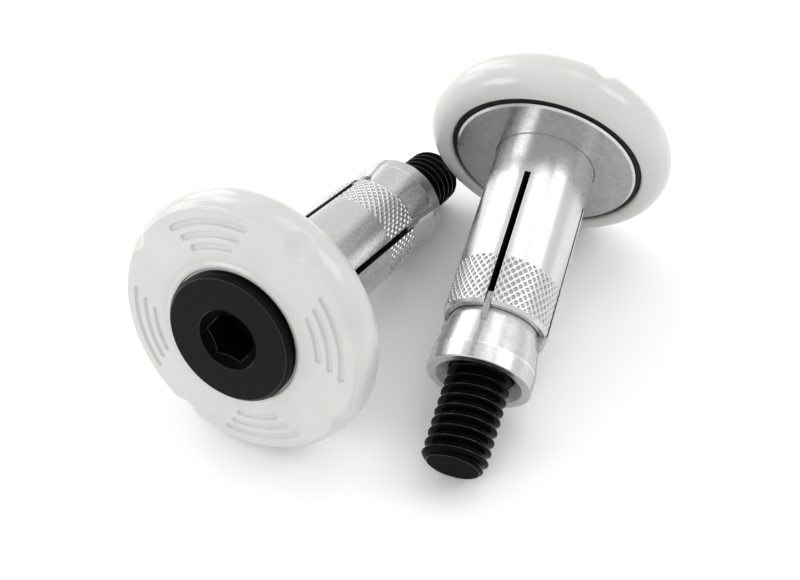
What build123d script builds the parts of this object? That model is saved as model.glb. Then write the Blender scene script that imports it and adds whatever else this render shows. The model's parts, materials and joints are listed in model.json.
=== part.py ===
"""A pair of expanding handlebar end plugs, lying on a table.

Each plug is built about its own axis, in millimetres: local z = 0 is the face of the sleeve flange
that stops against the bar end, and local +Z runs into the bar, towards the tip of the bolt.
The outer side, with the nylon disc and the bolt head, is at negative local z.
"""
import os
from math import asin, atan2, cos, degrees, hypot, radians, sin, tan

from build123d import *

# Fits between pieces
AXIAL_GAP = 0.02          # between flat faces of pieces that turn against each other
RUNNING_GAP = 0.08        # radial, between the bolt and the holes that it turns in

# Bolt: 3/8-16 UNC, with a wide flat head
THREAD_PITCH = 1.5875
BOLT_R = 4.74
BOLT_TIP_Z = 52.4
TIP_CHAMFER = 0.85
HEAD_R = 9.6
HEAD_FACE_Z = -9.2
HEAD_EDGE_CHAMFER = 0.45
HEAD_BACK_CHAMFER = 0.15
SOCKET_FLATS = 6.35       # quarter inch across flats
SOCKET_DEPTH = 5.6
SOCKET_MOUTH_R = 4.6

# Nylon impact disc
DISC_R = 19.4
DISC_WIDEST_Z = -3.4
DISC_BACK_ARC_R = 3.3
DISC_CREASE_R = 18.1
DISC_CREASE_Z = -6.9
DISC_FACE_Z = -7.55       # where the face meets the lip round the bolt head
DISC_LIP_IN_R = 9.9
DISC_LIP_R = 10.9
DISC_LIP_HEIGHT = 0.15
DISC_SEAT_Z = -7.4        # floor that the bolt head clamps
DISC_RECESS_R = 15.3
DISC_RECESS_EDGE_R = 15.8 # where the back starts to round over into the recess
DISC_RECESS_EDGE_Z = -0.75
NOTCH_COUNT = 4
NOTCH_R = 3.0
NOTCH_DEPTH = 0.55
NOTCH_TILT = 42.0
MARK_RADII = (12.9, 14.6, 16.3)
MARK_HALF_ANGLES = (13.0, 17.0, 21.0)
MARK_WIDTH = 0.8
MARK_DEPTH = 0.35
MARK_TO_NOTCH = 45.0

# Backing washer between the disc and the sleeve flange
WASHER_R = 15.1
WASHER_BACK_Z = -2.4

# Aluminium sleeve: a thin flange, the root of the tube, and four fingers left between its slots
FLANGE_R = 14.45
FLANGE_THICKNESS = 0.6
FLANGE_CHAMFER = 0.25
TUBE_FOOT_R = 7.4         # the tube's root tapers to this where it passes through the flange
FLANGE_SEAM = 0.01        # radial, between the tapered foot and the flange
SLEEVE_R = 7.94           # five eighths of an inch across
FINGER_COUNT = 4
SLOT_WIDTH = 1.0
SLOT_ROOT_Z = 7.2
MOUTH_Z = 30.3
MOUTH_CHAMFER = 0.35
SLEEVE_BORE_R = 6.2
WIDE_BORE_Z = 4.0         # where the wide bore of the sleeve starts

# Aluminium wedge nut
WEDGE_SLOPE = tan(radians(9.6))
NUT_SHOULDER_Z = 36.5     # where the cone ends and the short cylinder starts
NUT_R = 7.8
NUT_INNER_Z = 28.0
NUT_END_Z = 39.1
NUT_END_CHAMFER = 0.2
NUT_DISH_R = 6.4
NUT_DISH_DEPTH = 1.3
SEAT_GAP = 0.126          # radial, between the wedge and the conical mouth of the fingers
SEAT_SLOPE = 0.134        # flatter than the wedge, by the slope that the fingers take up in use
KEY_WIDTH = 0.9
KEY_TOP_R = 7.72
KEY_START_Z = 28.3
KEY_FLAT_END_Z = 31.8
KEY_TOE_Z = 32.9

# Where each plug lies: name, x, y, direction of its axis, and how its pieces are clocked, in degrees
PLUGS = (
    ("left", -31.0, 114.9, 64.8, 70.5, 28.5, 4.0),
    ("right", 8.9, 146.6, -105.9, 4.0, 64.0, 34.0),
)


def turned(*outline):
    """A solid of revolution about Z, from an outline of (radius, z) points and edges in the XZ plane."""
    with BuildPart() as built:
        with BuildSketch(Plane.XZ):
            with BuildLine():
                for piece in outline:
                    add(piece)
            make_face()
        revolve(axis=Axis.Z)
    return built.part


def turned_polygon(*points):
    """A solid of revolution whose outline is straight between its (radius, z) points."""
    return turned(Polyline(*points, close=True))


def polar(radius, angle, z=0.0):
    """The point at a radius and an angle in degrees about the plug's axis."""
    return (radius * cos(radians(angle)), radius * sin(radians(angle)), z)


def wedge_radius(z):
    """Radius of the nut's cone at a height along the plug, with the plug at rest."""
    return NUT_R - WEDGE_SLOPE * (NUT_SHOULDER_Z - z)


def make_bolt():
    """Flat-headed bolt with a hex socket; its thread is a plain cylinder of the outer diameter."""
    head_back = DISC_SEAT_Z - AXIAL_GAP
    body = turned_polygon(
        (0, HEAD_FACE_Z),
        (HEAD_R - HEAD_EDGE_CHAMFER, HEAD_FACE_Z),
        (HEAD_R, HEAD_FACE_Z + HEAD_EDGE_CHAMFER),
        (HEAD_R, head_back - HEAD_BACK_CHAMFER),
        (HEAD_R - HEAD_BACK_CHAMFER, head_back),
        (BOLT_R, head_back),
        (BOLT_R, BOLT_TIP_Z - TIP_CHAMFER),
        (BOLT_R - TIP_CHAMFER, BOLT_TIP_Z),
        (0, BOLT_TIP_Z),
    )
    corner_r = SOCKET_FLATS / 2 / cos(radians(30))
    socket_floor = HEAD_FACE_Z + SOCKET_DEPTH
    socket = extrude(Plane((0, 0, HEAD_FACE_Z)) * RegularPolygon(corner_r, 6), SOCKET_DEPTH)
    drill_point = Pos(0, 0, socket_floor + 0.5) * Cone(SOCKET_FLATS / 2, SOCKET_FLATS / 4, 1.0)
    mouth = turned_polygon(
        (0, HEAD_FACE_Z),
        (SOCKET_MOUTH_R, HEAD_FACE_Z),
        (corner_r, HEAD_FACE_Z + SOCKET_MOUTH_R - corner_r),
        (0, HEAD_FACE_Z + SOCKET_MOUTH_R - corner_r),
    )
    return body - socket - drill_point - mouth


def back_point(radius):
    """The point at a radius on the rounded back of the disc's rim."""
    from_centre = radius - (DISC_R - DISC_BACK_ARC_R)
    return (radius, DISC_WIDEST_Z + (DISC_BACK_ARC_R**2 - from_centre**2) ** 0.5)


def disc_blank():
    """The disc before its notches and marks: round rim, nearly flat face, lip and stepped back."""
    rim_centre_r = DISC_R - DISC_BACK_ARC_R
    # The front of the rim is an arc that leaves the widest circle along the axis
    inward = DISC_R - DISC_CREASE_R
    forward = DISC_WIDEST_Z - DISC_CREASE_Z
    front_arc_r = (inward**2 + forward**2) / (2 * inward)
    half_way = asin(forward / front_arc_r) / 2
    front_mid = (
        DISC_R - front_arc_r * (1 - cos(half_way)),
        DISC_WIDEST_Z - front_arc_r * sin(half_way),
    )
    lip_z = DISC_FACE_Z - DISC_LIP_HEIGHT
    bore_r = BOLT_R + RUNNING_GAP
    recess_edge = (DISC_RECESS_R, DISC_RECESS_EDGE_Z)
    return turned(
        Polyline(recess_edge, (DISC_RECESS_R, WASHER_BACK_Z), (bore_r, WASHER_BACK_Z)),
        Polyline(
            (bore_r, WASHER_BACK_Z),
            (bore_r, DISC_SEAT_Z),
            (DISC_LIP_IN_R, DISC_SEAT_Z),
            (DISC_LIP_IN_R, lip_z),
            (DISC_LIP_R - 0.4, lip_z),
            (DISC_LIP_R, DISC_FACE_Z),
        ),
        ThreePointArc(
            (DISC_LIP_R, DISC_FACE_Z),
            ((DISC_LIP_R + DISC_CREASE_R) / 2, (DISC_FACE_Z + DISC_CREASE_Z) / 2 - 0.12),
            (DISC_CREASE_R, DISC_CREASE_Z),
        ),
        ThreePointArc((DISC_CREASE_R, DISC_CREASE_Z), front_mid, (DISC_R, DISC_WIDEST_Z)),
        ThreePointArc(
            (DISC_R, DISC_WIDEST_Z),
            back_point(DISC_R - 0.9),
            back_point(rim_centre_r),
        ),
        ThreePointArc(
            back_point(rim_centre_r),
            back_point((rim_centre_r + DISC_RECESS_EDGE_R) / 2),
            back_point(DISC_RECESS_EDGE_R),
        ),
        ThreePointArc(
            back_point(DISC_RECESS_EDGE_R),
            (DISC_RECESS_R + 0.12, DISC_RECESS_EDGE_Z + 0.43),
            recess_edge,
        ),
    )


def notch_cutter(angle):
    """A round bar that lies across the front of the rim and scoops one shallow notch."""
    bevel_r = (DISC_R + DISC_CREASE_R) / 2
    bevel_z = (DISC_WIDEST_Z + DISC_CREASE_Z) / 2 - 1.0
    out_r = cos(radians(NOTCH_TILT))
    out_z = -sin(radians(NOTCH_TILT))
    stand_off = NOTCH_R - NOTCH_DEPTH
    centre = polar(bevel_r + out_r * stand_off, angle, bevel_z + out_z * stand_off)
    direction = polar(-out_z, angle, out_r)
    return Plane(origin=centre, z_dir=direction) * Cylinder(NOTCH_R, 14)


def mark_cutter(radius, half_angle, angle):
    """One short arc groove with round ends, concentric with the disc, sunk into its face."""
    across = (radius - DISC_LIP_R) / (DISC_CREASE_R - DISC_LIP_R)
    face_z = DISC_FACE_Z + across * (DISC_CREASE_Z - DISC_FACE_Z)
    floor_z = face_z + MARK_DEPTH
    band = turned_polygon(
        (radius - MARK_WIDTH / 2, floor_z),
        (radius + MARK_WIDTH / 2, floor_z),
        (radius + MARK_WIDTH / 2, floor_z - 1.5),
        (radius - MARK_WIDTH / 2, floor_z - 1.5),
    )
    reach = 2 * DISC_R
    with BuildSketch() as wedge:
        with BuildLine():
            Polyline(
                (0, 0),
                polar(reach, angle - half_angle)[:2],
                polar(reach, angle)[:2],
                polar(reach, angle + half_angle)[:2],
                close=True,
            )
        make_face()
    sector = extrude(Plane((0, 0, floor_z - 2)) * wedge.sketch, 4)
    groove = band & sector
    for end in (angle - half_angle, angle + half_angle):
        groove += Pos(*polar(radius, end, floor_z - 0.75)) * Cylinder(MARK_WIDTH / 2, 1.5)
    return groove


def make_disc(clock):
    """The nylon disc, with its notches starting at the clock angle and marks halfway between."""
    disc = disc_blank()
    for index in range(NOTCH_COUNT):
        angle = clock + index * 360 / NOTCH_COUNT
        disc -= notch_cutter(angle)
        for radius, half_angle in zip(MARK_RADII, MARK_HALF_ANGLES):
            disc -= mark_cutter(radius, half_angle, angle + MARK_TO_NOTCH)
    return disc


def make_washer():
    """Thin flat washer that backs the disc and shows round the flange as a dark ring."""
    bore_r = BOLT_R + 2 * RUNNING_GAP
    front = -FLANGE_THICKNESS - AXIAL_GAP
    return turned_polygon(
        (bore_r, WASHER_BACK_Z),
        (WASHER_R, WASHER_BACK_Z),
        (WASHER_R, front),
        (bore_r, front),
    )


def make_flange():
    """The thin flange round the root of the sleeve."""
    return turned_polygon(
        (TUBE_FOOT_R + FLANGE_SEAM, -FLANGE_THICKNESS),
        (FLANGE_R - FLANGE_CHAMFER, -FLANGE_THICKNESS),
        (FLANGE_R, -FLANGE_THICKNESS + FLANGE_CHAMFER),
        (FLANGE_R, -FLANGE_CHAMFER),
        (FLANGE_R - FLANGE_CHAMFER, 0),
        (SLEEVE_R + FLANGE_SEAM, 0),
    )


def make_tube_root():
    """The stretch of the sleeve's tube below its slots."""
    end = SLOT_ROOT_Z - AXIAL_GAP
    bore_r = BOLT_R + RUNNING_GAP
    return turned_polygon(
        (bore_r, -FLANGE_THICKNESS),
        (TUBE_FOOT_R, -FLANGE_THICKNESS),
        (SLEEVE_R, 0),
        (SLEEVE_R, end),
        (SLEEVE_BORE_R, end),
        (SLEEVE_BORE_R, WIDE_BORE_Z),
        (bore_r, WIDE_BORE_Z - 0.8),
    )


def slot_bar(angle, width, start, end):
    """A straight bar that reaches from the axis out through the tube wall at one angle."""
    reach = 2 * SLEEVE_R
    bar = Box(reach, width, end - start, align=(Align.MIN, Align.CENTER, Align.MIN))
    return Pos(0, 0, start) * Rot(0, 0, angle) * bar


def make_fingers(clock):
    """The slotted part of the sleeve, as one solid for each finger."""
    seat_r = wedge_radius(MOUTH_Z) + SEAT_GAP
    seat_start = MOUTH_Z - (seat_r - SLEEVE_BORE_R) / SEAT_SLOPE
    tube = turned_polygon(
        (SLEEVE_BORE_R, SLOT_ROOT_Z),
        (SLEEVE_R, SLOT_ROOT_Z),
        (SLEEVE_R, MOUTH_Z - MOUTH_CHAMFER),
        (SLEEVE_R - MOUTH_CHAMFER, MOUTH_Z),
        (seat_r, MOUTH_Z),
        (SLEEVE_BORE_R, seat_start),
    )
    step = 360 / FINGER_COUNT
    for index in range(FINGER_COUNT):
        tube -= slot_bar(clock + index * step, SLOT_WIDTH, SLOT_ROOT_Z - 1, MOUTH_Z + 1)

    def angle_past_slot(finger):
        """Angle from the first slot to the middle of a finger: finger n lies between slots n and n + 1."""
        middle = finger.center()
        return (degrees(atan2(middle.Y, middle.X)) - clock) % 360

    return sorted(tube.solids(), key=angle_past_slot)


def make_nut(clock):
    """Wedge nut: a cone that spreads the fingers, with keys that ride in the slots."""
    bore_r = BOLT_R + RUNNING_GAP
    inner_r = wedge_radius(NUT_INNER_Z)
    nut = turned_polygon(
        (bore_r, NUT_INNER_Z),
        (inner_r, NUT_INNER_Z),
        (NUT_R, NUT_SHOULDER_Z),
        (NUT_R, NUT_END_Z - NUT_END_CHAMFER),
        (NUT_R - NUT_END_CHAMFER, NUT_END_Z),
        (NUT_DISH_R, NUT_END_Z),
        (bore_r, NUT_END_Z - NUT_DISH_DEPTH),
    )
    root_r = bore_r + 0.5
    with BuildSketch(Plane.XZ) as rib:
        with BuildLine():
            Polyline(
                (root_r, KEY_START_Z),
                (KEY_TOP_R, KEY_START_Z),
                (KEY_TOP_R, KEY_FLAT_END_Z),
                (wedge_radius(KEY_TOE_Z), KEY_TOE_Z),
                (root_r, KEY_TOE_Z),
                close=True,
            )
        make_face()
    key = extrude(rib.sketch, KEY_WIDTH / 2, both=True)
    for index in range(FINGER_COUNT):
        nut += Rot(0, 0, clock + index * 360 / FINGER_COUNT) * key
    return nut


def rest_tilt():
    """How far the axis dips towards the bolt tip when a plug lies on its disc and its tip."""
    run = BOLT_TIP_Z - TIP_CHAMFER - DISC_WIDEST_Z
    drop = DISC_R - DISC_BACK_ARC_R - BOLT_R
    return degrees(atan2(drop, run) + asin(DISC_BACK_ARC_R / hypot(run, drop)))


def plug_plane(x, y, direction):
    """The frame of a plug that lies on the table: z along its axis, x level."""
    tilt = radians(rest_tilt())
    height = (DISC_R - DISC_BACK_ARC_R) * cos(tilt) + DISC_BACK_ARC_R + DISC_WIDEST_Z * sin(tilt)
    heading = radians(direction)
    axis = (cos(heading) * cos(tilt), sin(heading) * cos(tilt), -sin(tilt))
    level = (-sin(heading), cos(heading), 0)
    return Plane(origin=(x, y, height), x_dir=level, z_dir=axis)


def make_plug(name, sleeve_clock, disc_clock, socket_clock):
    """All the pieces of one plug in its own frame, by node name."""
    pieces = {
        "end_disc": make_disc(disc_clock),
        "backing_washer": make_washer(),
        "bolt": Rot(0, 0, socket_clock) * make_bolt(),
        "sleeve_flange": make_flange(),
        "sleeve_root": make_tube_root(),
        "wedge_nut": make_nut(sleeve_clock),
    }
    for index, finger in enumerate(make_fingers(sleeve_clock), start=1):
        pieces[f"sleeve_finger_{index}"] = finger
    return {f"{name}_{piece}": shape for piece, shape in pieces.items()}


def make_pair():
    """Both plugs on the table, moved so that the origin is at the bottom centre of their box."""
    placed = {}
    for name, x, y, direction, sleeve_clock, disc_clock, socket_clock in PLUGS:
        plane = plug_plane(x, y, direction)
        for node, shape in make_plug(name, sleeve_clock, disc_clock, socket_clock).items():
            placed[node] = plane * shape
    box = Compound(children=[Compound([shape]) for shape in placed.values()]).bounding_box()
    centre = box.center()
    shift = Vector(-centre.X, -centre.Y, -box.min.Z)
    return {node: shape.moved(Location(shift)) for node, shape in placed.items()}, shift


def main():
    os.makedirs("parts", exist_ok=True)
    pair, _ = make_pair()
    for node, shape in pair.items():
        export_step(shape, f"parts/{node}.step")


if __name__ == "__main__":
    main()
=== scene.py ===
"""Looks of the expanding handlebar end plugs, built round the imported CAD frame.

Each plug's pieces are made in its own frame, in millimetres: z = 0 is the flange face that stops
against the bar end, and +z runs into the bar. That frame is read from the record's joints.
"""
import json
from math import cos, radians, sin, tan

import bpy
import numpy as np
from mathutils import Euler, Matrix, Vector


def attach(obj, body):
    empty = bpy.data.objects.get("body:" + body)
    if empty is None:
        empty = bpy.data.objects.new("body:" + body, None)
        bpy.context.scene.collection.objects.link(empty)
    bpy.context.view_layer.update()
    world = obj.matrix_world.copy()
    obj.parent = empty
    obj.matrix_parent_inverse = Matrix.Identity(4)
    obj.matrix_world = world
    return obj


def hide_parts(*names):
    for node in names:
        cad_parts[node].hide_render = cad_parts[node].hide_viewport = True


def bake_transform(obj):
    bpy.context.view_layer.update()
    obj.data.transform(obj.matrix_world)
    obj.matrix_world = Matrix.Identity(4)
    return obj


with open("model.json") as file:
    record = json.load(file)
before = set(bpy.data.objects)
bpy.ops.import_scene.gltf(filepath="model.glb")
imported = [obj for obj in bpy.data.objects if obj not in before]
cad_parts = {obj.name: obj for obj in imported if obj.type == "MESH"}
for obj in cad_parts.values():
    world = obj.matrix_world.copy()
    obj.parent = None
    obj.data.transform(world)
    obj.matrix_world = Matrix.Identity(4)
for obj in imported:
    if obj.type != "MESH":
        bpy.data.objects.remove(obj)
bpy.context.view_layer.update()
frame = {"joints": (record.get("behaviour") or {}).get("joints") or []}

# Sizes are in millimetres. Those that the CAD has too agree with it to within 0.02 mm.

# Fits between pieces
AXIAL_GAP = 0.02          # between flat faces of pieces that turn against each other
RUNNING_GAP = 0.08        # radial, between the bolt and the disc's bore

# Bolt
BOLT_R = 4.74
BOLT_TIP_Z = 52.4
TIP_CHAMFER = 0.85
THREAD_PITCH = 1.5875
THREAD_DEPTH = 0.95
SHANK_R = 4.44            # plain stretch, out of sight inside the sleeve
SHANK_END_Z = 30.0
THREAD_START_Z = 34.0     # out of sight inside the nut
CREST_HALF_WIDTH = 0.11
CREST_ROUND = 0.14        # how softly a flank of the thread meets its crest
ROOT_ROUND = 0.12         # and its root
CREST_RUBBED = 0.03       # how far below its outer radius the thread is rubbed bright
HEAD_R = 9.6
HEAD_FACE_Z = -9.2
HEAD_CHAMFER = 0.45
HEAD_RUBBED = 0.08        # reach of the rubbed edge, to both sides of the head's corner
SOCKET_FLAT_R = 3.175     # half of a quarter inch
SOCKET_MOUTH_R = 4.6
SOCKET_MOUTH_SLOPE = 0.75
SOCKET_DEPTH = 5.6
DRILL_R = 2.6             # drilled cone in the socket's floor
DRILL_DEPTH = 1.4

# Nylon disc
DISC_R = 19.4
DISC_WIDEST_Z = -3.4
DISC_BACK_ARC_R = 3.3
DISC_CREASE_R = 18.1
DISC_CREASE_Z = -6.9
DISC_FACE_Z = -7.55
DISC_FACE_BULGE = 0.12
DISC_SEAT_Z = -7.4
DISC_BORE_R = BOLT_R + RUNNING_GAP
DISC_LIP_IN_R = 9.9
DISC_LIP_R = 10.9
DISC_LIP_Z = DISC_FACE_Z - 0.15
DISC_RECESS_R = 15.3
DISC_RECESS_EDGE_R = 15.8
DISC_RECESS_EDGE_Z = -0.75
DISC_COLUMNS = 590        # fine enough for the marks, and under the limit on an STL's triangles
NOTCH_COUNT = 4
NOTCH_R = 3.0
NOTCH_DEPTH = 0.55
NOTCH_TILT = radians(42)
NOTCH_FORWARD = 1.0       # how far a notch's middle lies in front of the bevel's middle
NOTCH_ROUND = 0.35        # how softly a notch meets the rim
MARK_RADII = (12.9, 14.6, 16.3)
MARK_HALF_ANGLES = (13, 17, 21)
MARK_WIDTH = 0.8
MARK_DEPTH = 0.35
MARK_WALL = 0.16          # width over which a mark's side falls away
MARK_TO_NOTCH = 45

HEAD_BACK_Z = DISC_SEAT_Z - AXIAL_GAP

# Backing washer
WASHER_R = 15.1
WASHER_BACK_Z = -2.4

# Sleeve
FLANGE_R = 14.45
FLANGE_THICKNESS = 0.6
FLANGE_CHAMFER = 0.25
FLANGE_CHAMFER_WIDTH = 0.375
ROOT_GROOVE = 0.14        # width and depth of the fine groove round the foot of the tube
SLEEVE_R = 7.94
SLEEVE_BORE_R = 6.2
WIDE_BORE_Z = 4.0
FINGER_COUNT = 4
FINGER_BEVEL = 0.04       # where a finger's outside meets the slots
WALL_POINTS = 5           # in a section of a finger, across each slot wall
OUTSIDE_POINTS = 176      # and round its outside
SLOT_WIDTH = 1.0
SLOT_ROOT_Z = 7.2
MOUTH_Z = 30.3
MOUTH_BORE_R = 6.876
MOUTH_TAPER = 0.6         # length of the taper on the outside of the mouth
MOUTH_TAPER_SLOPE = 0.45
SEAT_START_Z = 25.26
KNURL_START_Z = 22.2
KNURL_END_Z = 29.7
KNURL_DEPTH = 0.22
KNURL_COUNT = 44
KNURL_RISE = 1.34         # height between two ridges of one family
KNURL_PIT_Z = 25.67       # a height at which a pit lies in line with the slots
KNURL_FADE = 0.2          # length over which the knurling starts and ends

# Wedge nut
NUT_SLOPE = tan(radians(9.6))
NUT_R = 7.8
NUT_SHOULDER_Z = 36.5
NUT_INNER_Z = 28.0
NUT_END_Z = 39.1
NUT_DISH_R = 6.4
NUT_DISH_DEPTH = 1.3
NUT_HOLE_R = BOLT_R + 0.1
SHOULDER_RUBBED = 0.12    # reach of the rubbed edge, to both sides of the shoulder
KEY_WIDTH = 0.9
KEY_TOP_R = 7.72
KEY_START_Z = 28.3
KEY_FLAT_END_Z = 31.8
KEY_TOE_Z = 32.9
KEY_RIDGE = 0.025         # height of the faint ridge that runs on from a key's toe

# UV units a radian, for each kind of surface
TURNED_UV = 10
FINGER_UV = 8
BOLT_UV = 4

# How each plug's pieces are clocked, in degrees: sleeve slots, disc notches, hex socket corners
CLOCKS = {"left": (70.5, 28.5, 4.0), "right": (4.0, 64.0, 34.0)}

# Places of the bolt's materials; DEEP is for what little light reaches
FACE, STEEL, RUBBED, DEEP = range(4)

# Stage and camera, in metres and degrees
MM = 0.001                # metres in a millimetre
FLOOR_HALF = 3
FLOOR_Z = -0.00002
SOFTBOX_DISTANCE = 0.7
CAMERA_PLACE = (0.0109285, -0.129535, 0.13674)
CAMERA_DIP = 46.156       # below level
CAMERA_LENS = 53.39       # focal length in millimetres, on a sensor 36 mm wide
CAMERA_SHIFT = (-0.1105, 0.0301)


def unit(vector):
    return vector / np.linalg.norm(vector)


def plug_frame(side):
    """(origin, 3 axes as rows) of one plug in the row frame, in metres, from its bolt's joint."""
    joint = next(j for j in frame["joints"] if j["name"] == side + "_bolt_turn")
    axis = unit(np.array(joint["axis"], float))
    level = unit(np.array([-axis[1], axis[0], 0.0]))
    return np.array(joint["pos_m"], float), np.array([level, np.cross(axis, level), axis])


# ---------------------------------------------------------------- mesh tools


class Shell:
    """A mesh in the making: grids of points, each with its own UV map, in a plug's frame."""

    def __init__(self):
        self.points = []
        self.faces = []
        self.uvs = []
        self.slots = []
        self.count = 0

    def grid(self, points, u, v, wrap=False, flip=False, slot=0):
        """Adds rows x columns of points. u and v are the UV values of the columns and the rows; a
        wrapped grid has one more u than it has columns. slot is the place of the grid's material
        among the piece's, or an array of places: one for each row of faces, or for each face."""
        rows, columns = points.shape[:2]
        across = columns if wrap else columns - 1
        row, column = np.meshgrid(np.arange(rows - 1), np.arange(across), indexing="ij")
        near, far = row * columns, (row + 1) * columns
        following = (column + 1) % columns
        faces = np.stack([near + column, near + following, far + following, far + column], -1)
        uv_grid = np.stack(np.broadcast_arrays(u, np.reshape(v, (-1, 1))), -1)
        corners = (row, column), (row, column + 1), (row + 1, column + 1), (row + 1, column)
        uvs = np.stack([uv_grid[corner] for corner in corners], -2)
        if flip:
            faces, uvs = faces[..., ::-1], uvs[..., ::-1, :]
        self.points.append(points.reshape(-1, 3))
        self.faces.append(faces.reshape(-1, 4) + self.count)
        self.uvs.append(uvs.reshape(-1, 2))
        self.slots.append(np.broadcast_to(slot, faces.shape[:2]).ravel())
        self.count += rows * columns

    def lathe(self, profile, angles, flip=False, slot=0):
        """Adds a surface of revolution through (r, z) points."""
        u, v = ring_uv(angles, TURNED_UV), lengths_along(profile)
        self.grid(ring_points(profile, angles), u, v, wrap=True, flip=flip, slot=slot)

    def build(self, name, side, *materials):
        """Makes the Blender object, in the row frame, in metres."""
        origin, axes = plug_frame(side)
        points = origin + MM * np.concatenate(self.points) @ axes
        faces, uvs = np.concatenate(self.faces), np.concatenate(self.uvs)
        mesh = bpy.data.meshes.new(name)
        mesh.vertices.add(len(points))
        mesh.vertices.foreach_set("co", points.ravel())
        mesh.loops.add(faces.size)
        mesh.loops.foreach_set("vertex_index", faces.ravel())
        mesh.polygons.add(len(faces))
        mesh.polygons.foreach_set("loop_start", np.arange(0, faces.size, 4))
        mesh.polygons.foreach_set("loop_total", np.full(len(faces), 4))
        mesh.update(calc_edges=True)
        mesh.uv_layers.new(name="UVMap").data.foreach_set("uv", uvs.ravel())
        mesh.shade_smooth()
        for material in materials:
            mesh.materials.append(material)
        mesh.polygons.foreach_set("material_index", np.concatenate(self.slots))
        piece = bpy.data.objects.new(name, mesh)
        bpy.context.scene.collection.objects.link(piece)
        return piece


def ring_points(profile, angles):
    """rows x columns of points: each (r, z) of a profile at each angle, in radians."""
    r, z = profile[:, :1], profile[:, 1:]
    return np.stack([r * np.cos(angles), r * np.sin(angles), z + 0 * angles], -1)


def ring_uv(angles, scale):
    """UV values of a closed ring's columns, and one more for the seam where it closes."""
    return np.append(angles, angles[0] + 2 * np.pi) * scale


def lengths_along(points):
    """Distance along a polyline at each of its points."""
    return np.append(0, np.cumsum(np.hypot(*np.diff(points, axis=0).T)))


def round_angles(count, start=0.0):
    """count even steps of a full turn, in radians."""
    return start + np.arange(count) * 2 * np.pi / count


def spread(start, end, step):
    """Points from start to end, both included, no further apart than step."""
    start, end = np.asarray(start, float), np.asarray(end, float)
    count = max(1, int(np.ceil(np.linalg.norm(end - start) / step)))
    return start + np.linspace(0, 1, count + 1)[:, None] * (end - start)


def outline(corners, step=2.0):
    """A polyline through (r, z, fillet radius) corners. Its corners are rounded, and a support
    point beside each rounding makes the flat stretches shade flat."""
    corners = [np.asarray(corner, float) for corner in corners]
    last = corners[0][:2]
    runs = []
    for before, here, after in zip(corners, corners[1:], corners[2:]):
        corner, fillet = here[:2], here[2]
        back, onward = unit(before[:2] - corner), unit(after[:2] - corner)
        half = np.arccos(np.clip(back @ onward, -1, 1)) / 2
        reach = fillet / np.tan(half)
        centre = corner + unit(back + onward) * fillet / np.sin(half)
        enter, leave = corner + back * reach, corner + onward * reach
        support = min(0.3 * fillet, 0.05)
        runs.append(spread(last, enter + back * support, step))
        spokes = enter + np.linspace(0, 1, 7)[:, None] * (leave - enter) - centre
        runs.append(centre + spokes / np.linalg.norm(spokes, axis=1)[:, None] * fillet)
        last = leave + onward * support
    runs.append(spread(last, corners[-1][:2], step))
    points = np.concatenate(runs)
    apart = np.append(True, np.hypot(*np.diff(points, axis=0).T) > 1e-6)
    return points[apart]


def arc_through(start, middle, end, count):
    """count points on the circle through three (r, z) points, from the first to the last."""
    start, middle, end = (complex(*point) for point in (start, middle, end))
    ratio = (end - start) / (middle - start)
    centre = (middle - start) * (ratio - abs(ratio) ** 2) / (2j * ratio.imag) + start
    turn = np.angle((end - centre) / (start - centre))
    path = centre + (start - centre) * np.exp(1j * turn * np.linspace(0, 1, count))
    return np.stack([path.real, path.imag], -1)


def smooth_min(first, second, width):
    """The lesser of two values, blended over a width where they are close."""
    share = np.clip(0.5 + 0.5 * (second - first) / width, 0, 1)
    return second + (first - second) * share - width * share * (1 - share)


def smooth_step(share):
    """Eases a value between 0 and 1 at both ends."""
    return share * share * (3 - 2 * share)


# ---------------------------------------------------------------- disc and washer


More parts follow.
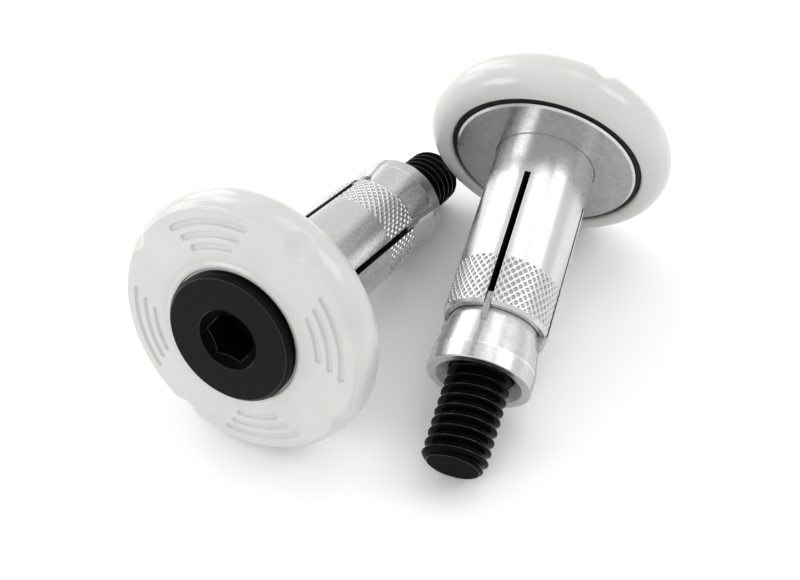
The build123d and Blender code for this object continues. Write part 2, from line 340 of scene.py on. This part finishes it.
def disc_profile():
    """The disc's outline, from its bore over the face and the rim to the back recess."""
    lip_foot = (DISC_LIP_R + 0.6, DISC_FACE_Z - 0.02)
    seat = outline([
        (DISC_BORE_R, DISC_SEAT_Z + 0.5, 0),
        (DISC_BORE_R, DISC_SEAT_Z, 0.05),
        (DISC_LIP_IN_R, DISC_SEAT_Z, 0.05),
        (DISC_LIP_IN_R, DISC_LIP_Z, 0.1),
        (DISC_LIP_IN_R + 0.45, DISC_LIP_Z, 0.5),
        (DISC_LIP_R, DISC_FACE_Z, 0.5),
        (*lip_foot, 0),
    ])
    face_middle = (
        (DISC_LIP_R + DISC_CREASE_R) / 2,
        (DISC_FACE_Z + DISC_CREASE_Z) / 2 - DISC_FACE_BULGE,
    )
    # The crease is rounded a little, between the face and the front of the rim
    crease_start = (DISC_CREASE_R - 0.25, DISC_CREASE_Z - 0.05)
    crease_middle = (DISC_CREASE_R, DISC_CREASE_Z + 0.03)
    crease_end = (DISC_CREASE_R + 0.12, DISC_CREASE_Z + 0.24)
    # The front of the rim is an arc that leaves the widest circle along the axis
    inward, forward = DISC_R - DISC_CREASE_R, DISC_WIDEST_Z - DISC_CREASE_Z
    front_r = (inward**2 + forward**2) / (2 * inward)
    half = np.arcsin(forward / front_r) / 2
    front_middle = (
        DISC_R - front_r * (1 - np.cos(half)),
        DISC_WIDEST_Z - front_r * np.sin(half),
    )
    arc_centre_r = DISC_R - DISC_BACK_ARC_R
    past_top = np.arcsin((arc_centre_r - DISC_RECESS_EDGE_R) / DISC_BACK_ARC_R)
    turn = np.linspace(0, np.pi / 2 + past_top, 20)
    back = np.stack([
        arc_centre_r + DISC_BACK_ARC_R * np.cos(turn),
        DISC_WIDEST_Z + DISC_BACK_ARC_R * np.sin(turn),
    ], -1)
    recess_edge = (DISC_RECESS_R, DISC_RECESS_EDGE_Z)
    edge_middle = (DISC_RECESS_R + 0.12, DISC_RECESS_EDGE_Z + 0.43)
    under_washer_r = 10.0
    recess = outline([
        (*recess_edge, 0),
        (DISC_RECESS_R, WASHER_BACK_Z, 0.1),
        (under_washer_r, WASHER_BACK_Z, 0),
    ])
    runs = [
        arc_through(lip_foot, face_middle, crease_start, count=60),
        arc_through(crease_start, crease_middle, crease_end, count=7),
        arc_through(crease_end, front_middle, (DISC_R, DISC_WIDEST_Z), count=16),
        back,
        arc_through(back[-1], edge_middle, recess_edge, count=9),
        recess,
    ]
    return np.concatenate([seat, *(run[1:] for run in runs)])


def sink_marks(points, clock):
    """Sinks the arc marks into the disc's face: rounded grooves, halfway between the notches."""
    radius = np.hypot(points[..., 0], points[..., 1])
    turn = np.arctan2(points[..., 1], points[..., 0])
    on_face = (points[..., 2] < DISC_CREASE_Z + 0.3) & (radius > DISC_LIP_R + 0.3)
    sink = np.zeros_like(radius)
    for index in range(NOTCH_COUNT):
        middle = radians(clock + MARK_TO_NOTCH + index * 360 / NOTCH_COUNT)
        off = (turn - middle + np.pi) % (2 * np.pi) - np.pi
        for mark_r, half in zip(MARK_RADII, MARK_HALF_ANGLES):
            past_end = np.maximum(np.abs(off) - radians(half), 0) * mark_r
            away = np.hypot(radius - mark_r, past_end)
            inside = np.clip((MARK_WIDTH / 2 - away) / MARK_WALL + 0.5, 0, 1)
            sink = np.maximum(sink, MARK_DEPTH * smooth_step(inside))
    points[..., 2] += sink * on_face


def scoop_notches(points, clock):
    """Scoops the notches out of the disc's rim, each with a round bar laid across its front."""
    rim_start_r = 15
    on_rim = np.hypot(points[..., 0], points[..., 1]) > rim_start_r
    bevel_r = (DISC_R + DISC_CREASE_R) / 2
    bevel_z = (DISC_WIDEST_Z + DISC_CREASE_Z) / 2 - NOTCH_FORWARD
    for index in range(NOTCH_COUNT):
        angle = radians(clock + index * 360 / NOTCH_COUNT)
        start = np.array([bevel_r * cos(angle), bevel_r * sin(angle), bevel_z])
        side = np.array([-sin(angle), cos(angle), 0])
        out = np.array([
            cos(angle) * cos(NOTCH_TILT),
            sin(angle) * cos(NOTCH_TILT),
            -sin(NOTCH_TILT),
        ])
        across, height = (points - start) @ side, (points - start) @ out
        floor = NOTCH_R - NOTCH_DEPTH - np.sqrt(np.maximum(NOTCH_R**2 - across**2, 0))
        near = (np.abs(across) < NOTCH_R * 0.98) & (points @ start > 0) & on_rim
        drop = np.where(near, smooth_min(height, floor, NOTCH_ROUND) - height, 0)
        points += np.minimum(drop, 0)[..., None] * out


def make_disc(side, clock, looks):
    """The nylon disc, with its notches starting at the clock angle."""
    shell = Shell()
    profile, angles = disc_profile(), round_angles(DISC_COLUMNS)
    points = ring_points(profile, angles)
    sink_marks(points, clock)
    scoop_notches(points, clock)
    shell.grid(points, ring_uv(angles, TURNED_UV), lengths_along(profile), wrap=True)
    return shell.build(side + "_disc_body", side, looks["nylon"])


def make_washer(side, looks):
    """The washer, from its outside in to where the sleeve's flange hides it."""
    shell = Shell()
    hidden_r = 9
    back, front = WASHER_BACK_Z + AXIAL_GAP, -FLANGE_THICKNESS - AXIAL_GAP
    profile = outline([
        (hidden_r, back, 0),
        (WASHER_R, back, 0.08),
        (WASHER_R, front, 0.12),
        (hidden_r, front, 0),
    ], 0.8)
    shell.lathe(profile, round_angles(240))
    return shell.build(side + "_washer_ring", side, looks["washer"])


# ---------------------------------------------------------------- sleeve


def make_collar(side, looks):
    """Flange, and the tube as far as the slot roots. Its open end is a grid of its own, so that its
    edge stays sharp and the fingers carry on from it without a seam."""
    flange, sleeve = range(2)
    shell = Shell()
    turn = round_angles(360)
    hidden_r = 6.0
    chamfer_start = (FLANGE_R, -FLANGE_CHAMFER, 0)
    chamfer_end = (FLANGE_R - FLANGE_CHAMFER_WIDTH, 0, 0)
    groove = (SLEEVE_R, -ROOT_GROOVE, 0)
    rim = [(hidden_r, -FLANGE_THICKNESS, 0), (FLANGE_R, -FLANGE_THICKNESS, 0.08), chamfer_start]
    # The flange's faces take the flange look, darker in colour partly as painted shade; its chamfer
    # and the tube take the sleeve's
    for slot, corners in (
        (flange, rim),
        (sleeve, [chamfer_start, chamfer_end]),
        (flange, [chamfer_end, (SLEEVE_R + ROOT_GROOVE, 0, 0.05), groove]),
        (sleeve, [groove, (SLEEVE_R, SLOT_ROOT_Z, 0)]),
    ):
        shell.lathe(outline(corners, 0.7), turn, slot=slot)
    end_outside, end_inside = (SLEEVE_R, SLOT_ROOT_Z), (SLEEVE_BORE_R, SLOT_ROOT_Z)
    shell.lathe(spread(end_outside, end_inside, 0.5), turn, slot=sleeve)
    shell.lathe(spread(end_inside, (SLEEVE_BORE_R, WIDE_BORE_Z), 0.8), turn, slot=sleeve)
    return shell.build(side + "_sleeve_collar", side, looks["flange"], looks["sleeve"])


def knurl_depth(turn, z):
    """Depth of the square pits between two crossing families of ridges. turn is measured from the
    middle of a slot."""
    ridge_half, flank, blend = 0.13, 0.16, 0.25  # as shares of the way between two ridges
    pit = np.ones_like(turn)
    for hand in (1, -1):
        phase = turn * KNURL_COUNT / (2 * np.pi) + hand * (z - KNURL_PIT_Z) / KNURL_RISE
        from_ridge = 0.5 - np.abs((phase + 0.5) % 1 - 0.5)
        pit = smooth_min(pit, (from_ridge - ridge_half) / flank, blend)
    from_end = min(z - KNURL_START_Z, KNURL_END_Z - z)
    return KNURL_DEPTH * np.clip(pit, 0, 1) * np.clip(from_end / KNURL_FADE, 0, 1)


def finger_outside(z):
    """Outer radius of a finger: plain, then slightly tapered at the mouth."""
    return SLEEVE_R - np.clip(z - (MOUTH_Z - MOUTH_TAPER), 0, MOUTH_TAPER) * MOUTH_TAPER_SLOPE


def finger_bore(z):
    """Inner radius of a finger: a plain bore, then the flared seat for the wedge."""
    flare = (MOUTH_BORE_R - SLEEVE_BORE_R) / (MOUTH_Z - SEAT_START_Z)
    return SLEEVE_BORE_R + np.maximum(z - SEAT_START_Z, 0) * flare


def finger_span(radius, count):
    """Angles from one end of a finger to the other at a radius, from the middle of a slot."""
    edge = np.arcsin(SLOT_WIDTH / 2 / radius)
    return np.linspace(edge, np.pi / 2 - edge, count)


def finger_section(z):
    """One cross-section of a finger: up one slot wall, over the knurled outside, down the other."""
    half_slot, half_bevel, outer = SLOT_WIDTH / 2, FINGER_BEVEL / 2, finger_outside(z)
    wall_r = np.linspace(finger_bore(z), outer - FINGER_BEVEL, WALL_POINTS)
    wall = np.stack([np.sqrt(wall_r**2 - half_slot**2), np.full(WALL_POINTS, half_slot)], -1)
    bevel = [[np.sqrt((outer - half_bevel) ** 2 - half_slot**2), half_slot + half_bevel]]
    edge = np.arcsin((half_slot + FINGER_BEVEL) / outer)
    turn = np.linspace(edge, np.pi / 2 - edge, OUTSIDE_POINTS)
    r = outer - knurl_depth(turn, z)
    outside = np.stack([r * np.cos(turn), r * np.sin(turn)], -1)
    end = np.concatenate([wall, bevel])
    return np.concatenate([end, outside, end[::-1, ::-1]])


def make_finger(side, number, clock, looks):
    """One finger of the slotted tube, with its band of knurling."""
    outside, pit, wall = range(3)
    start = radians(clock + (number - 1) * 360 / FINGER_COUNT)
    rows = np.concatenate([
        np.linspace(SLOT_ROOT_Z, KNURL_START_Z - 0.1, 24),
        np.arange(KNURL_START_Z, KNURL_END_Z, 0.07),
        KNURL_END_Z + np.array([0.02, 0.08, 0.2, 0.35, 0.5]),
    ])
    sections = np.array([finger_section(z) for z in rows])
    points = np.stack([
        sections[..., 0] * cos(start) - sections[..., 1] * sin(start),
        sections[..., 0] * sin(start) + sections[..., 1] * cos(start),
        np.broadcast_to(rows[:, None], sections.shape[:2]),
    ], -1)
    # The bottoms of the pits and the walls of the slots have looks of their own: their darker colours
    # are painted shade
    sunk = SLEEVE_R - np.hypot(sections[..., 0], sections[..., 1])
    sunk[:, :WALL_POINTS + 1] = sunk[:, -WALL_POINTS - 1:] = 0
    sunk[rows > KNURL_END_Z] = 0
    face_sunk = (sunk[1:, 1:] + sunk[1:, :-1] + sunk[:-1, 1:] + sunk[:-1, :-1]) / 4
    slot = np.where(face_sunk > 0.6 * KNURL_DEPTH, pit, outside)
    slot[:, :WALL_POINTS - 1] = slot[:, 1 - WALL_POINTS:] = wall
    shell = Shell()
    shell.grid(points, lengths_along(sections[0]), rows, slot=slot)
    # The inside
    turn = start + finger_span(SLEEVE_BORE_R, 60)
    bore = np.array([(finger_bore(z), z) for z in np.append(rows[::6], MOUTH_Z)])
    shell.grid(ring_points(bore, turn), turn * FINGER_UV, bore[:, 1], flip=True)
    # The mouth's end face, with its outer edge rounded over
    end_middle_r = 7.3
    turn = start + finger_span(end_middle_r, 90)
    top = finger_outside(rows[-1])
    corners = [(top, rows[-1], 0), (top - 0.05, MOUTH_Z, 0.06), (MOUTH_BORE_R, MOUTH_Z, 0)]
    lip = outline(corners, 0.2)
    shell.grid(ring_points(lip, turn), turn * FINGER_UV, MOUTH_Z + np.arange(len(lip)) * 0.05)
    name = f"{side}_sleeve_tongue_{number}"
    return shell.build(name, side, looks["sleeve"], looks["pit"], looks["wall"])


# ---------------------------------------------------------------- nut


def wedge_radius(z):
    """Radius of the nut's cone at a height along the plug, with the plug at rest."""
    return NUT_R - NUT_SLOPE * (NUT_SHOULDER_Z - z)


def add_key(shell, turn, slot):
    """Adds one key to the nut: a rib with a sloping toe, which runs on as a faint ridge."""
    # Its rows of points lie closer where it bends
    z = np.array([
        KEY_START_Z, KEY_START_Z + 0.06, 29.5, 30.7, KEY_FLAT_END_Z, KEY_FLAT_END_Z + 0.1,
        32.2, 32.5, KEY_TOE_Z - 0.1, KEY_TOE_Z, 34, 35.2, NUT_SHOULDER_Z, NUT_SHOULDER_Z + 0.1,
        37.5, NUT_END_Z - 0.25,
    ])
    toe_r = wedge_radius(KEY_TOE_Z) + KEY_RIDGE
    rib_top = np.interp(z, [KEY_FLAT_END_Z, KEY_TOE_Z], [KEY_TOP_R, toe_r])
    ridge_top = np.minimum(wedge_radius(z), NUT_R) + KEY_RIDGE
    top = np.where(z < KEY_TOE_Z, rib_top, ridge_top)
    top[0] -= 0.05
    # Half of its section, from the foot towards the middle
    half_across = np.array([1, 1, 0.97, 0.85, 0.4]) * KEY_WIDTH / 2
    half_drop = [2.0, 0.12, 0.04, 0, 0]
    steps = np.concatenate([-half_across, [0], half_across[::-1]])
    drop = np.array([*half_drop, 0, *half_drop[::-1]])
    across, out = np.broadcast_arrays(steps, top[:, None] - drop)
    rib = np.stack([
        out * cos(turn) - across * sin(turn),
        out * sin(turn) + across * cos(turn),
        np.broadcast_to(z[:, None], across.shape),
    ], -1)
    shell.grid(rib, steps, z, slot=slot)
    end = np.stack([rib[0] * (0.7, 0.7, 1), rib[0]])
    shell.grid(end, steps, [0, 2], slot=slot)


def make_nut(side, clock, looks):
    """The wedge nut: a turned cone with a dished end, and a key for each slot of the sleeve."""
    body, key, edge = range(3)
    shell = Shell()
    before, after = NUT_SHOULDER_Z - SHOULDER_RUBBED, NUT_SHOULDER_Z + SHOULDER_RUBBED
    cone = [
        (NUT_HOLE_R, NUT_INNER_Z, 0),
        (wedge_radius(NUT_INNER_Z), NUT_INNER_Z, 0.15),
        (wedge_radius(before), before, 0),
    ]
    end = [
        (NUT_R, after, 0),
        (NUT_R, NUT_END_Z, 0.16),
        (NUT_DISH_R, NUT_END_Z, 0.08),
        (NUT_HOLE_R, NUT_END_Z - NUT_DISH_DEPTH, 0.05),
        (NUT_HOLE_R, NUT_END_Z - 3, 0),
    ]
    shoulder = [cone[-1], (NUT_R, NUT_SHOULDER_Z, 0.1), end[0]]
    for slot, corners in ((body, cone), (edge, shoulder), (body, end)):
        shell.lathe(outline(corners, 0.8), round_angles(360), slot=slot)
    # The keys take a rougher look, darker in colour as painted shade
    for index in range(FINGER_COUNT):
        add_key(shell, radians(clock + index * 360 / FINGER_COUNT), key)
    return shell.build(side + "_nut_body", side, looks["nut"], looks["key"], looks["edge"])


# ---------------------------------------------------------------- bolt


def add_head(shell):
    """Adds the head round its socket, with the outer edge of its face rubbed bright."""
    edge_r = HEAD_R - HEAD_CHAMFER
    rubbed_start = (edge_r - HEAD_RUBBED, HEAD_FACE_Z, 0)
    rubbed_end = (edge_r + HEAD_RUBBED, HEAD_FACE_Z + HEAD_RUBBED, 0)
    chamfer_end = (HEAD_R, HEAD_FACE_Z + HEAD_CHAMFER, 0)
    for slot, corners in (
        (FACE, [(SOCKET_MOUTH_R, HEAD_FACE_Z, 0), rubbed_start]),
        (RUBBED, [rubbed_start, (edge_r, HEAD_FACE_Z, 0.05), rubbed_end]),
        (FACE, [rubbed_end, chamfer_end]),
        (STEEL, [chamfer_end, (HEAD_R, HEAD_BACK_Z, 0.12), (BOLT_R, HEAD_BACK_Z, 0)]),
    ):
        shell.lathe(outline(corners, 0.6), round_angles(360), flip=True, slot=slot)


def add_socket(shell, clock):
    """Adds the hex socket: a cone that meets the six flats, then the flats, then the drilled
    floor. The edges of the cone are rubbed bright."""
    start, sixth, beside_corner = radians(clock), np.pi / 3, 0.004
    corners = start + sixth * np.arange(6)
    beside = [corners + beside_corner, corners + sixth - beside_corner]
    turn = np.sort(np.concatenate([round_angles(360, start), *beside]))
    flat = SOCKET_FLAT_R / np.cos((turn - start) % sixth - sixth / 2)
    meet = HEAD_FACE_Z + (SOCKET_MOUTH_R - flat) * SOCKET_MOUTH_SLOPE
    floor = np.full_like(turn, HEAD_FACE_Z + SOCKET_DEPTH)
    cone = [
        (SOCKET_MOUTH_R + (flat - SOCKET_MOUTH_R) * share, HEAD_FACE_Z + (meet - HEAD_FACE_Z) * share)
        for share in (0, 0.04, 0.08, 0.5, 0.93, 0.97, 1)
    ]
    walls = [(flat, meet + (floor - meet) * share) for share in (0, 0.02, 0.5, 0.98, 1)]
    base = [(flat * share, floor) for share in (1, 0.98, 0.9)]
    for radius, sunk in ((DRILL_R + 0.1, 0), (DRILL_R, 0.05), (0.05, DRILL_DEPTH)):
        base.append((np.full_like(turn, radius), floor + sunk))
    for rings, rubbed_rows in ((cone, [0, 1, 4, 5]), (walls, [0]), (base, [])):
        points = np.array([np.stack([r * np.cos(turn), r * np.sin(turn), z], -1) for r, z in rings])
        slot = np.full((len(rings) - 1, 1), DEEP)
        slot[rubbed_rows] = RUBBED
        shell.grid(points, ring_uv(turn, BOLT_UV), np.arange(len(rings)) * 0.5, wrap=True, slot=slot)


def thread_radius(turn, z):
    """Outer radius of the right-hand thread at an angle and a height, chamfered at the tip."""
    phase = (z / THREAD_PITCH - turn / (2 * np.pi)) % 1
    from_crest = np.minimum(phase, 1 - phase) * THREAD_PITCH
    flank = (from_crest - CREST_HALF_WIDTH) * tan(radians(60))
    depth = smooth_min(-smooth_min(-flank, 0, CREST_ROUND), THREAD_DEPTH, ROOT_ROUND)
    chamfer = BOLT_R - np.maximum(z - (BOLT_TIP_Z - TIP_CHAMFER), 0)
    return smooth_min(BOLT_R - depth, chamfer, 0.05)


def add_shank(shell):
    """Adds the shank: plain inside the sleeve, then threaded, with rubbed crests, and its tip."""
    turn = round_angles(240)
    uv = ring_uv(turn, BOLT_UV)
    z = np.concatenate([
        [HEAD_BACK_Z, SHANK_END_Z],
        np.arange(THREAD_START_Z, BOLT_TIP_Z, 0.06),
        [BOLT_TIP_Z],
    ])[:, None]
    radius = np.where(z < THREAD_START_Z, SHANK_R, thread_radius(turn, z))
    points = np.stack([radius * np.cos(turn), radius * np.sin(turn), z + 0 * turn], -1)
    crest = (radius > BOLT_R - CREST_RUBBED) & (z > THREAD_START_Z)
    rubbed = crest[:-1] & crest[1:] & np.roll(crest, -1, 1)[:-1]
    shell.grid(points, uv, z, wrap=True, slot=np.where(rubbed, RUBBED, STEEL))
    tip = np.array([points[-1] * (share, share, 1) for share in (1, 0.97, 0.9, 0.5, 0.01)])
    slot = [[RUBBED], [DEEP], [DEEP], [DEEP]]
    shell.grid(tip, uv, [0, 0.1, 0.4, 2, 4], wrap=True, slot=slot)


def make_bolt(side, clock, looks):
    """The bolt: wide head with a chamfered hex socket, and a shank with a real helical thread."""
    shell = Shell()
    add_head(shell)
    add_socket(shell, clock)
    add_shank(shell)
    materials = (looks[name] for name in ("face", "steel", "rubbed", "deep"))
    return shell.build(side + "_bolt_body", side, *materials)


# ---------------------------------------------------------------- materials


class Look:
    """A material in the making, with the few node tools that this script needs."""

    def __init__(self, name):
        self.material = bpy.data.materials.new(name)
        self.material.use_nodes = True
        self.tree = self.material.node_tree
        self.shader = self.tree.nodes["Principled BSDF"]
        self.coords = self.tree.nodes.new("ShaderNodeTexCoord")

    def set(self, **values):
        """Sets the shader's own sockets; an underscore in a name stands for a space."""
        for socket, value in values.items():
            self.shader.inputs[socket.replace("_", " ")].default_value = value

    def link(self, source, socket):
        self.tree.links.new(source, self.shader.inputs[socket])

    def noise(self, scale, detail, rough=0.5, stretch=None):
        """Noise in the object's space or, where it is stretched, on its UV map."""
        node = self.tree.nodes.new("ShaderNodeTexNoise")
        node.inputs["Scale"].default_value = scale
        node.inputs["Detail"].default_value = detail
        node.inputs["Roughness"].default_value = rough
        source = self.coords.outputs["Object"]
        if stretch is not None:
            mapping = self.tree.nodes.new("ShaderNodeMapping")
            mapping.inputs["Scale"].default_value = stretch
            self.tree.links.new(self.coords.outputs["UV"], mapping.inputs["Vector"])
            source = mapping.outputs["Vector"]
        self.tree.links.new(source, node.inputs["Vector"])
        return node.outputs["Fac"]

    def ramp(self, source, low, high):
        """Maps a noise's middle range to a range of greys, which serve as numbers too, or colours."""
        node = self.tree.nodes.new("ShaderNodeValToRGB")
        for stop, place, value in zip(node.color_ramp.elements, (0.3, 0.7), (low, high)):
            stop.position = place
            stop.color = (*np.broadcast_to(value, 3), 1)
        self.tree.links.new(source, node.inputs["Fac"])
        return node.outputs["Color"]

    def bump(self, height, distance):
        """Raises the surface by a height of 0 to 1, times a distance in metres."""
        node = self.tree.nodes.new("ShaderNodeBump")
        node.inputs["Strength"].default_value = 1.0
        node.inputs["Distance"].default_value = distance
        self.tree.links.new(height, node.inputs["Height"])
        self.link(node.outputs["Normal"], "Normal")


def nylon():
    look = Look("white_nylon")
    look.set(Specular_IOR_Level=0.6, Subsurface_Weight=0.15, Subsurface_Scale=0.0012)
    tint = look.ramp(look.noise(160, 4), (0.56, 0.565, 0.545), (0.60, 0.605, 0.585))
    look.link(tint, "Base Color")
    look.link(look.ramp(look.noise(500, 3), 0.17, 0.21), "Roughness")
    look.bump(look.noise(180, 2), 0.00001)
    return look.material


def black_steel(name, gloss, smoothest, roughest):
    """Black oxide over steel: very dark, with a fine grain in its sheen."""
    look = Look(name)
    look.set(Specular_IOR_Level=gloss)
    look.link(look.ramp(look.noise(500, 5), 0.0012, 0.0028), "Base Color")
    look.link(look.ramp(look.noise(1500, 4), smoothest, roughest), "Roughness")
    look.bump(look.noise(5200, 4), 0.000003)
    return look.material


def black_washer():
    look = Look("black_washer")
    look.set(Specular_IOR_Level=0.25)
    look.link(look.ramp(look.noise(600, 3), 0.006, 0.012), "Base Color")
    look.link(look.ramp(look.noise(900, 3), 0.5, 0.65), "Roughness")
    look.bump(look.noise(3000, 3), 0.00001)
    return look.material


def turned_aluminium(name, dull, bright, smoothest, roughest, grain):
    """Fine turned metal: tool lines run round the piece, over a faint mottled grain. They draw its
    highlights out across them. grain is the scale of the grain's noise: the higher, the finer."""
    look = Look(name)
    look.set(Metallic=1.0, Anisotropic=0.3, Anisotropic_Rotation=0.25)
    tangent = look.tree.nodes.new("ShaderNodeTangent")
    tangent.direction_type = "UV_MAP"
    tangent.uv_map = "UVMap"
    look.link(tangent.outputs["Tangent"], "Tangent")
    tint = look.ramp(look.noise(grain, 6, 0.62), dull, (bright, bright, bright * 0.995))
    look.link(tint, "Base Color")
    look.link(look.ramp(look.noise(grain * 0.6, 5, 0.6), smoothest, roughest), "Roughness")
    look.bump(look.noise(1.0, 3, 0.6, stretch=(0.05, 6.0, 1)), 0.000004)
    return look.material


def paper():
    look = Look("white_paper")
    look.set(Specular_IOR_Level=0.2, Roughness=0.7, Base_Color=(0.97, 0.97, 0.97, 1))
    return look.material


# ---------------------------------------------------------------- scene


def softbox(name, azimuth, elevation, size, power):
    """A square area light that faces the object. Azimuth 0 is behind it, and 90 is to its right."""
    data = bpy.data.lights.new(name, "AREA")
    data.shape = "SQUARE"
    data.size = size
    data.energy = power
    light = bpy.data.objects.new(name, data)
    turn, rise = radians(azimuth), radians(elevation)
    place = SOFTBOX_DISTANCE * Vector((sin(turn) * cos(rise), cos(turn) * cos(rise), sin(rise)))
    light.location = place
    light.rotation_euler = (-place).to_track_quat("-Z", "Y").to_euler()
    bpy.context.scene.collection.objects.link(light)


def make_stage():
    """A white floor and an even white world, with softboxes for the highlights on the metal."""
    corners = [(x * FLOOR_HALF, y * FLOOR_HALF, 0) for x, y in ((-1, -1), (1, -1), (1, 1), (-1, 1))]
    mesh = bpy.data.meshes.new("floor")
    mesh.from_pydata(corners, [], [(0, 1, 2, 3)])
    mesh.materials.append(paper())
    floor = bpy.data.objects.new("floor", mesh)
    floor.location.z = FLOOR_Z
    bpy.context.scene.collection.objects.link(floor)
    world = bpy.data.worlds.new("studio")
    world.use_nodes = True
    background = world.node_tree.nodes["Background"]
    background.inputs["Color"].default_value = (1, 1, 1, 1)
    background.inputs["Strength"].default_value = 0.92
    bpy.context.scene.world = world
    softbox("left_front", azimuth=240, elevation=18, size=0.3, power=1.0)
    softbox("left_back", azimuth=300, elevation=18, size=0.3, power=0.55)
    softbox("back", azimuth=330, elevation=18, size=0.3, power=0.55)
    softbox("right", azimuth=90, elevation=42, size=0.3, power=0.8)
    softbox("top", azimuth=45, elevation=65, size=0.3, power=0.4)
    softbox("left_high", azimuth=318, elevation=40, size=0.2, power=0.4)


def make_camera():
    """The camera: in front of the object, above it, and level from side to side."""
    data = bpy.data.cameras.new("camera")
    data.sensor_fit = "HORIZONTAL"
    data.sensor_width = 36
    data.lens = CAMERA_LENS
    data.shift_x, data.shift_y = CAMERA_SHIFT
    data.clip_start, data.clip_end = 0.005, 20
    camera = bpy.data.objects.new("camera", data)
    camera.location = CAMERA_PLACE
    camera.rotation_euler = Euler((radians(90 - CAMERA_DIP), 0, 0))
    bpy.context.scene.collection.objects.link(camera)
    bpy.context.scene.camera = camera


def make_looks():
    """The object's materials, by the short names that the pieces ask for."""
    return {
        "nylon": nylon(),
        "face": black_steel("black_steel_face", 0.1, 0.3, 0.4),
        "steel": black_steel("black_steel", 0.035, 0.16, 0.26),
        "rubbed": black_steel("black_steel_crest", 0.3, 0.16, 0.26),
        "deep": black_steel("black_steel_deep", 0.01, 0.3, 0.4),
        "washer": black_washer(),
        # flange: duller turned metal, and darker in colour as painted shade from the shadowed floor
        # it faces
        "flange": turned_aluminium("flange_dull_painted_shade", 0.42, 0.54, 0.12, 0.2, 900),
        "sleeve": turned_aluminium("sleeve_aluminium", 0.61, 0.67, 0.24, 0.3, 1400),
        # knurl pits: darker aluminium, as painted shade in the pits
        "pit": turned_aluminium("knurl_pit_painted_shade", 0.3, 0.4, 0.3, 0.4, 1400),
        # slot walls: near-black aluminium, as painted shade on the walls
        "wall": turned_aluminium("slot_wall_painted_shade", 0.06, 0.12, 0.45, 0.6, 2200),
        "nut": turned_aluminium("nut_aluminium", 0.55, 0.66, 0.24, 0.36, 1400),
        "edge": turned_aluminium("polished_aluminium", 0.82, 0.9, 0.12, 0.2, 1400),
        # keys: rougher finish, and darker in colour as painted shade
        "key": turned_aluminium("key_rough_painted_shade", 0.3, 0.5, 0.4, 0.6, 2200),
    }


def dress(side, looks):
    """Makes one plug's pieces and sets each, apart from the fingers, to ride on its body."""
    sleeve_clock, disc_clock, socket_clock = CLOCKS[side]
    rides = [
        (make_disc(side, disc_clock, looks), "disc", "end_disc", "white_nylon"),
        (make_washer(side, looks), "disc", "backing_washer", "black_washer"),
        (make_bolt(side, socket_clock, looks), "bolt", "bolt", "black_steel"),
        (make_nut(side, sleeve_clock, looks), "nut", "wedge_nut", "nut_aluminium"),
    ]
    for piece, body, node, slot in rides:
        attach(piece, f"{side}_{body}")
        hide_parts(f"{side}_{node}")
    collar = make_collar(side, looks)
    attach(collar, "sleeves")
    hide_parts(f"{side}_sleeve_flange", f"{side}_sleeve_root")
    for number in range(1, FINGER_COUNT + 1):
        finger = make_finger(side, number, sleeve_clock, looks)
        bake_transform(finger)
        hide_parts(f"{side}_sleeve_finger_{number}")


bpy.context.scene.view_settings.view_transform = "Standard"
make_camera()
make_stage()
LOOKS = make_looks()
for plug in ("left", "right"):
    dress(plug, LOOKS)
